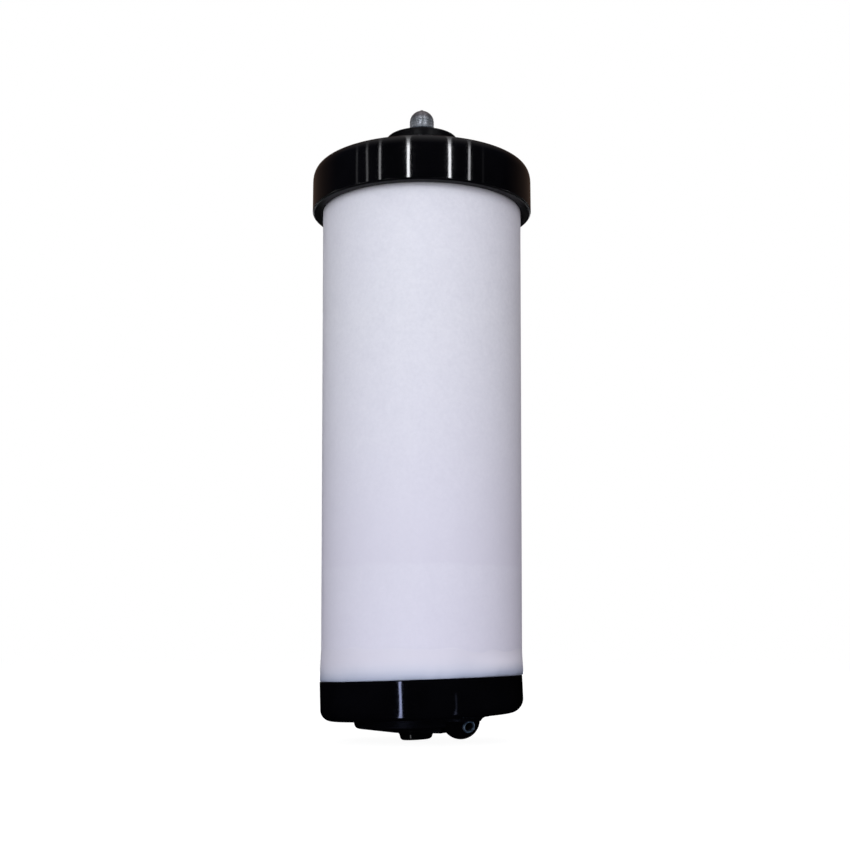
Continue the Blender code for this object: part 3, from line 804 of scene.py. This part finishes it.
eyelet_points = rounded([(1.25, 4.65), (1.85, 4.65), (1.85, 5.62, 0.28), (1.25, 5.62, 0.28)], 6)
put(along(eyelet_points, "outlet_eyelet_ring", "eyelet_steel", closed=True), "outlet_eyelet")

# ------------------------------------------------------------------ head cap
HEAD_LOW, HEAD_HIGH = cad_size("head_cap")
HEAD_R, HEAD_BOTTOM, HEAD_TOP = HEAD_HIGH.x, HEAD_LOW.z, HEAD_HIGH.z
# the shoulder is a little fuller than a plain fillet, and runs gradually into the wall
SHOULDER_R, SHOULDER_H, SHOULDER_POWER = 4.2, 5.1, 0.76
shoulder = [
    (
        HEAD_R - SHOULDER_R + SHOULDER_R * math.sin(angle) ** SHOULDER_POWER,
        HEAD_TOP - 0.15 - SHOULDER_H + SHOULDER_H * math.cos(angle) ** SHOULDER_POWER,
    )
    for angle in arc_deg(0.0, 90.0, 30)
]
head_points = [
    (9.5, HEAD_TOP, 0.4),
    (12.6, HEAD_TOP, 0.2),
    (12.9, HEAD_TOP - 0.18, 0.2),
    (20.0, HEAD_TOP - 0.10),
    *shoulder[1:],
    (HEAD_R, HEAD_BOTTOM, 0.6),
    (31.1, HEAD_BOTTOM, 0.25),
    (31.1, 171.4, 0.5),
    (9.5, 171.4, 0.3),
]
put(lathe("head_cap_shell", rounded(head_points, 12), "black_head", 224), "head_cap")
head_thread = thread("head_cap_thread", 31.15, 163.8, -54.0, "black_plastic")
extra(head_thread, "head")

# ------------------------------------------------------------------ knob and collar
KNOB_LOW, KNOB_HIGH = cad_size("pump_knob")
KNOB_R, KNOB_BOTTOM, KNOB_TOP = KNOB_HIGH.x, KNOB_LOW.z, KNOB_HIGH.z
STEM_BORE = 2.6
knob_points = [
    (STEM_BORE, KNOB_TOP - 0.3),
    (4.6, KNOB_TOP - 0.3, 0.2),
    (4.9, KNOB_TOP, 0.3),
    (KNOB_R, KNOB_TOP, 1.1),
    (KNOB_R, KNOB_BOTTOM, 0.5),
    (9.0, KNOB_BOTTOM, 0.3),
    (9.0, 179.5, 0.5),
    (STEM_BORE, 179.5),
]
put(lathe("pump_knob_shell", rounded(knob_points, 10), "black_satin", 144), "pump_knob")
collar_points = [(STEM_BORE, 184.9), (STEM_BORE, 186.95), (4.1, 186.95, 0.35), (4.15, 184.9, 0.3)]
put(lathe("knob_collar_ring", rounded(collar_points, 6), "black_satin", 96), "knob_collar")

# ------------------------------------------------------------------ dome nut
NUT_LOW, NUT_HIGH = cad_size("dome_nut")
NUT_BOTTOM, NUT_TOP = NUT_LOW.z, NUT_HIGH.z
DOME_R, DOME_H, DOME_Z = 3.8, 3.75, 190.1
RING_PITCH, RING_DEPTH = 0.86, 0.075
nut_points = [
    (0.0, NUT_TOP), (0.45, NUT_TOP - 0.03), (0.62, NUT_TOP - 0.16), (0.66, NUT_TOP - 0.36),
]
nut_points += [
    (DOME_R * math.sin(angle), DOME_Z + DOME_H * math.cos(angle)) for angle in arc_deg(12, 74, 22)
]
# fine turned rings down the side, like the crests of a shallow thread
rings_top = DOME_Z + DOME_H * math.cos(math.radians(74))
for z in np.linspace(rings_top - 0.1, NUT_BOTTOM + 0.35, 64):
    phase = 2 * math.pi * ((rings_top - z) / RING_PITCH)
    groove = RING_DEPTH * (0.5 - 0.5 * math.cos(phase)) ** 1.5
    bulge = DOME_R * math.sqrt(max(0.0, 1 - (max(0.0, z - DOME_Z) / DOME_H) ** 2))
    nut_points.append((bulge - groove, z))
nut_points += [
    (DOME_R - 0.12, NUT_BOTTOM + 0.15), (DOME_R - 0.3, NUT_BOTTOM),
    (STEM_BORE, NUT_BOTTOM), (STEM_BORE, 191.9), (0.0, 191.9),
]
nut = lathe("dome_nut_body", nut_points, "satin_nickel", 96, closed=False, sharp=50)
put(nut, "dome_nut")

# ------------------------------------------------------------------ rod, seen when the knob is up
ROD_R, ROD_END_R = 3.0, 2.4
rod_points = [
    (0.0, 191.6), (ROD_END_R, 191.6, 0.4), (ROD_END_R, 179.3),
    (ROD_R, 179.3, 0.15), (ROD_R, 39.3, 0.15),
    (ROD_END_R, 39.3), (ROD_END_R, 25.9, 0.4), (0.0, 25.9),
]
rod = lathe("pump_rod_shaft", rounded(rod_points, 4), "rod_steel", 64, closed=False)
put(rod, "pump_rod")

# ------------------------------------------------------------------ gland nut, wiper and bumper
GLAND_R, GLAND_LOW, GLAND_HIGH, GLAND_BORE = 8.08, 174.3, 177.6, 3.35
gland = cylinder("gland_nut_hex", GLAND_R, GLAND_LOW, GLAND_HIGH, 6, material="brass")
# (r, z) of the solid that turns off the hexagon's corners, top and bottom
CORNER_CONE = [
    (0.0, 177.7), (7.15, 177.7), (7.35, 177.6), (8.2, 177.1),
    (8.2, 174.8), (7.5, 174.2), (0.0, 174.2),
]
boolean(gland, lathe("corner_cone", CORNER_CONE, None, 96, closed=False), "INTERSECT")
boolean(gland, cylinder("gland_bore", GLAND_BORE, 170.0, 180.0, 48))
boolean(gland, cylinder("wiper_seat", 5.0, 175.2, 180.0, 64))
bevel = gland.modifiers.new("bevel", "BEVEL")
bevel.width = 0.00012
bevel.segments = 2
bevel.limit_method = "ANGLE"
bevel.angle_limit = math.radians(40)
smooth(gland.data, 30)
put(gland, "gland_nut")

shank_points = [(GLAND_BORE, 174.35), (5.6, 174.35), (5.6, 167.6), (GLAND_BORE, 167.6)]
extra(lathe("gland_nut_shank", shank_points, "brass", 64), "head_insert")
wiper_points = [
    (3.4, 175.5), (4.8, 175.5), (4.8, 177.25, 0.25),
    (3.5, 177.45, 0.15), (3.12, 177.7, 0.08), (3.25, 176.6),
]
put(lathe("rod_wiper_lip", rounded(wiper_points, 4), "black_rubber", 64), "rod_wiper")
bumper_points = [(3.2, 178.1, 0.2), (7.2, 178.1, 0.35), (7.2, 179.2, 0.2), (3.2, 179.2)]
put(lathe("knob_bumper_ring", rounded(bumper_points, 4), "black_rubber", 72), "knob_bumper")

# ------------------------------------------------------------------ camera
EYE = Vector((0.0010, -0.4101, 0.02433))
CAMERA_PITCH = 0.167  # radians above the level
camera_data = bpy.data.cameras.new("camera")
camera_data.sensor_width = 36.0
camera_data.lens = 57.9926118
camera_data.clip_start = 0.01
camera_data.clip_end = 20.0
camera = bpy.data.objects.new("camera", camera_data)
camera.location = EYE
camera.rotation_euler = (math.pi / 2 + CAMERA_PITCH, 0.0, 0.0)
scene.collection.objects.link(camera)
scene.camera = camera

# ------------------------------------------------------------------ floor, seen by the camera only
bm = bmesh.new()
bmesh.ops.create_grid(bm, x_segments=1, y_segments=1, size=6.0)
floor_mesh = bpy.data.meshes.new("floor")
bm.to_mesh(floor_mesh)
bm.free()
floor = bpy.data.objects.new("floor", floor_mesh)
scene.collection.objects.link(floor)
floor.location = (0, 0, -0.0003)
new_material("floor").surface({
    "Base Color": (0.25, 0.25, 0.25),
    "Roughness": 0.9,
    "Specular IOR Level": 0.0,
    "Emission Color": (1.0, 1.0, 1.0),
    "Emission Strength": 0.94,
})
floor_mesh.materials.append(MATERIALS["floor"])
floor.visible_glossy = False
floor.visible_diffuse = False
floor.visible_shadow = False


# ------------------------------------------------------------------ world
def studio_world():
    """White to the camera, a soft even light to matt surfaces, a dark room to polished ones."""
    world = bpy.data.worlds.new("studio")
    scene.world = world
    world.use_nodes = True
    world.node_tree.nodes.clear()
    nodes = Nodes(world.node_tree)
    ray = nodes.add("LightPath").outputs
    toward = nodes.split(nodes.add("TexCoord").outputs["Generated"])

    def background(color, strength):
        return nodes.add("Background", {"Color": color, "Strength": strength}).outputs[0]

    # the mirrored room has a soft grey ceiling and a dim warm wall behind the product
    room = nodes.ramp(
        toward["Z"],
        (0.0, (0.0, 0.0, 0.0)),
        (0.42, (0.001, 0.001, 0.002)),
        (0.62, (0.006, 0.006, 0.010)),
        (0.80, (0.10, 0.095, 0.10)),
        (1.0, (0.30, 0.29, 0.30)),
    )
    behind = nodes.remap(toward["Y"], over=(0.15, 1.0))
    wall = nodes.times(behind, nodes.remap(toward["Z"], over=(0.10, 0.25)))
    aside = nodes.math("ABSOLUTE", toward["X"])
    wall = nodes.times(wall, nodes.remap(aside, over=(0.03, 0.11), to=(0.30, 1.0)))
    mirrored = nodes.mix(wall, room, (0.105, 0.068, 0.052))
    unseen = nodes.add("MixShader", {
        0: ray["Is Glossy Ray"],
        1: background((0.985, 0.955, 0.985), strength=0.245),
        2: background(mirrored, strength=1.0),
    })
    final = nodes.add("MixShader", {
        0: ray["Is Camera Ray"],
        1: unseen.outputs[0],
        2: background((1.0, 1.0, 1.0), strength=1.0),
    })
    nodes.add("OutputWorld", {0: final.outputs[0]})


studio_world()


# ------------------------------------------------------------------ lamp helpers
COOL, BLUE = (0.95, 0.96, 1.0), (0.56, 0.63, 1.0)
STRIP_DIST = 1.3


def rect_lamp(name, width, height, radiance, color, only=None):
    """A rectangular lamp the camera doesn't see, which lights just the collection only."""
    lamp = bpy.data.lights.new(name, "AREA")
    lamp.shape = "RECTANGLE"
    lamp.size, lamp.size_y = width, height
    lamp.energy = radiance * math.pi * width * height
    lamp.color = color
    obj = bpy.data.objects.new(name, lamp)
    obj.visible_camera = False
    scene.collection.objects.link(obj)
    if only is not None:
        obj.light_linking.receiver_collection = only
    return obj


def area(
    name, azimuth, elevation, dist, width, height, radiance, color,
    glossy=True, target=(0, 0, 0.1), only=None,
):
    """A lamp at an azimuth (0 is in front, 90 to the right) and elevation, facing the target."""
    turn, rise = math.radians(azimuth), math.radians(elevation)
    toward = Vector((
        math.sin(turn) * math.cos(rise), -math.cos(turn) * math.cos(rise), math.sin(rise),
    ))
    obj = rect_lamp(name, width, height, radiance, color, only)
    obj.location = Vector(target) + toward * dist
    obj.rotation_mode = "QUATERNION"
    obj.rotation_quaternion = toward.to_track_quat("Z", "Y")
    obj.visible_glossy = glossy


def span(degrees):
    """The width that covers this angle at the strips' distance."""
    return 2 * STRIP_DIST * math.tan(math.radians(degrees / 2))


def mirror_dir(azimuth, tilt, radius, z, turn):
    """The point on a turned part whose normal is at this azimuth and tilt, and where the
    camera's ray goes from it."""
    around, up = math.radians(azimuth), math.radians(tilt)
    normal = turn.to_3x3() @ Vector((
        math.cos(up) * math.sin(around), -math.cos(up) * math.cos(around), math.sin(up),
    ))
    point = turn @ (Vector((radius * math.sin(around), -radius * math.cos(around), z)) * MM)
    view = (EYE - point).normalized()
    return point, 2 * normal.dot(view) * normal - view


def chain(
    name, azimuth, radius, z, bands, width, radiance, color, only, turn=Matrix.Identity(4),
):
    """Small lamps that the camera sees mirrored as one upright line at this azimuth of a
    turned part. bands are (tilt, tilt, factor), where a tilt of 0 is the upright wall."""
    for k, (tilt0, tilt1, factor) in enumerate(bands):
        if radiance * factor < 0.015:
            continue
        point, ray0 = mirror_dir(azimuth, tilt0, radius, z, turn)
        point1, ray1 = mirror_dir(azimuth, tilt1, radius, z, turn)
        start, end = point + ray0 * STRIP_DIST, point1 + ray1 * STRIP_DIST
        middle = (start + end) / 2
        length_dir = (end - start).normalized()
        side = length_dir.cross((middle - point).normalized()).normalized()
        face = side.cross(length_dir).normalized()
        obj = rect_lamp(
            f"{name}_{k}", span(width), (end - start).length, radiance * factor, color, only,
        )
        axes = Matrix((side, length_dir, face)).transposed().to_4x4()
        obj.matrix_world = Matrix.Translation(middle) @ axes


def group_of(name, test):
    group = bpy.data.collections.new(name)
    for obj in bpy.data.objects:
        if obj.type == "MESH" and obj.name != "floor" and test(obj):
            group.objects.link(obj)
    return group


def named(name, *starts):
    return group_of(name, lambda obj: obj.name.startswith(starts))


def not_named(name, *starts):
    return group_of(name, lambda obj: not obj.name.startswith(starts))


# ------------------------------------------------------------------ lamps
# name, azimuth, elevation, distance, width, height, radiance, colour
STUDIO_LAMPS = [
    ("key", -18, 12, 1.6, 0.95, 1.1, 4.1, (0.905, 0.938, 1.0)),
    ("fill_right", 74, 4, 1.8, 0.8, 1.2, 1.25, (0.97, 0.92, 1.0)),
    ("fill_left", -72, 0, 1.8, 0.8, 1.2, 0.52, (0.97, 0.98, 1.0)),
    ("top_soft", 0, 80, 1.5, 1.2, 1.2, 0.7, (1, 1, 1)),
    ("back_soft", 186, 12, 1.7, 1.0, 1.1, 2.6, (0.96, 0.97, 1.0)),
]
for row in STUDIO_LAMPS:
    area(*row, glossy=False)

METALS = [
    MATERIALS[key]
    for key in ("satin_nickel", "stainless_steel", "rod_steel", "eyelet_steel", "brass")
]
CAP_PARTS = ("base_cap_shell", "inlet_nipple_spout", "outlet_boss_ball")
metal_parts = group_of(
    "metal_parts", lambda obj: any(mat in METALS for mat in obj.data.materials),
)
cap_parts = named("cap_parts", "base_cap_shell")
nipple_parts = named("nipple_parts", "inlet_nipple_spout")
rest_parts = not_named("rest_parts", *CAP_PARTS)
gloss_parts = not_named("gloss_parts", *CAP_PARTS, "housing_tube", "joint_sealant")
rod_parts = named("rod_parts", "pump_rod_shaft", "gland_nut")
knob_parts = named("knob_parts", "pump_knob_shell", "knob_collar_ring")

# the head's lines fade towards the top of the shoulder: tilt, tilt, factor
FADE = [
    (-3, 3, 1.0), (3, 8, 0.66), (8, 15, 0.36), (15, 24, 0.19),
    (24, 34, 0.065), (34, 44, 0.025), (44, 60, 0.005),
]
# name, azimuth, width in degrees, radiance
HEAD_STRIPS = [
    ("a", -6.46, 2.6, 26.0), ("b", 13.88, 2.5, 25.0), ("c", -20.79, 2.0, 5.1),
    ("d", 24.19, 2.2, 9.0), ("e", -27.91, 2.0, 1.7), ("f", -33.82, 2.0, 0.45),
    ("g", 31.93, 2.0, 0.10),
]
for letter, azimuth, width, radiance in HEAD_STRIPS:
    chain(
        f"strip_{letter}", azimuth, radius=33.9, z=166.0, bands=FADE,
        width=width, radiance=radiance, color=COOL, only=rest_parts,
    )
chain(
    "strip_h", azimuth=-10.9, radius=29.75, z=12.0,
    bands=[(4, -8, 1.0), (-8, -20, 0.95), (-20, -32, 0.85), (-32, -44, 0.6)],
    width=2.5, radiance=12.5, color=BLUE, only=cap_parts, turn=LEAN_MATRIX,
)
chain(
    "strip_i", azimuth=18.6, radius=29.75, z=12.0,
    bands=[(0, -12, 0.6), (-12, -24, 1.0), (-24, -40, 1.6)],
    width=1.8, radiance=0.55, color=BLUE, only=cap_parts, turn=LEAN_MATRIX,
)

# upright lamps all round, which only the other views see on the upright walls:
# azimuth, width in degrees, radiance
SIDE_STRIPS = [
    (96, 2.4, 8.0), (134, 1.8, 5.5), (-98, 2.4, 8.0), (-142, 1.8, 6.0), (162, 2.4, 8.0),
    (200, 2.0, 7.0), (26, 1.9, 5.0), (-34, 1.6, 5.0), (-64, 2.2, 6.0),
]
SIDE_LOW, SIDE_HIGH = -34, 10.5  # elevations that they cover
for k, (azimuth, width, radiance) in enumerate(SIDE_STRIPS):
    area(
        f"strip_side_{k}", azimuth, (SIDE_LOW + SIDE_HIGH) / 2, STRIP_DIST,
        span(width), span(SIDE_HIGH - SIDE_LOW), radiance, COOL,
        target=(0, 0, 0.12), only=gloss_parts,
    )

# broad ones, low down, for the raised rod and knob: azimuth, radiance on the rod
for k, (azimuth, radiance) in enumerate([(18, 0.55), (108, 0.34), (200, 0.50), (290, 0.34)]):
    area(
        f"rod_soft_{k}", azimuth, elevation=-14, dist=1.5, width=1.1, height=1.3,
        radiance=radiance, color=COOL, target=(0, 0, 0.22), only=rod_parts,
    )
    area(
        f"knob_soft_{k}", azimuth + 25, elevation=-14, dist=1.5, width=0.45, height=1.3,
        radiance=1.3, color=COOL, target=(0, 0, 0.25), only=knob_parts,
    )

# softboxes for the bare metal parts: name, azimuth, elevation, distance, width, height, radiance
METAL_LAMPS = [
    ("metal_front", -5, 22, 1.4, 0.36, 0.34, 1.35),
    ("metal_right", 125, 25, 1.4, 1.0, 1.0, 0.16),
    ("metal_left", -125, 25, 1.4, 1.0, 1.0, 0.16),
    ("metal_back", 180, 25, 1.4, 1.0, 1.0, 0.5),
]
for row in METAL_LAMPS:
    area(*row, color=(0.90, 0.95, 1.0), target=(0, 0, 0.18), only=metal_parts)
# one from low on the right for the eyelet's face, and a small one for the nipple's edge
area(
    "metal_low", azimuth=63, elevation=-37, dist=1.0, width=0.5, height=0.5, radiance=0.20,
    color=(0.38, 0.66, 1.0), target=(0.0134, -0.0165, 0.0046), only=metal_parts,
)
chain(
    "nipple_glint", azimuth=-18.5, radius=4.7, z=1.7, bands=[(-6, -26, 1.0)],
    width=7.0, radiance=2.0, color=COOL, only=nipple_parts,
)

scene.view_settings.view_transform = "Standard"
scene.view_settings.look = "None"
scene.view_settings.exposure = 0.0
scene.view_settings.gamma = 1.0

# ------------------------------------------------------------------ finish
bpy.context.view_layer.update()
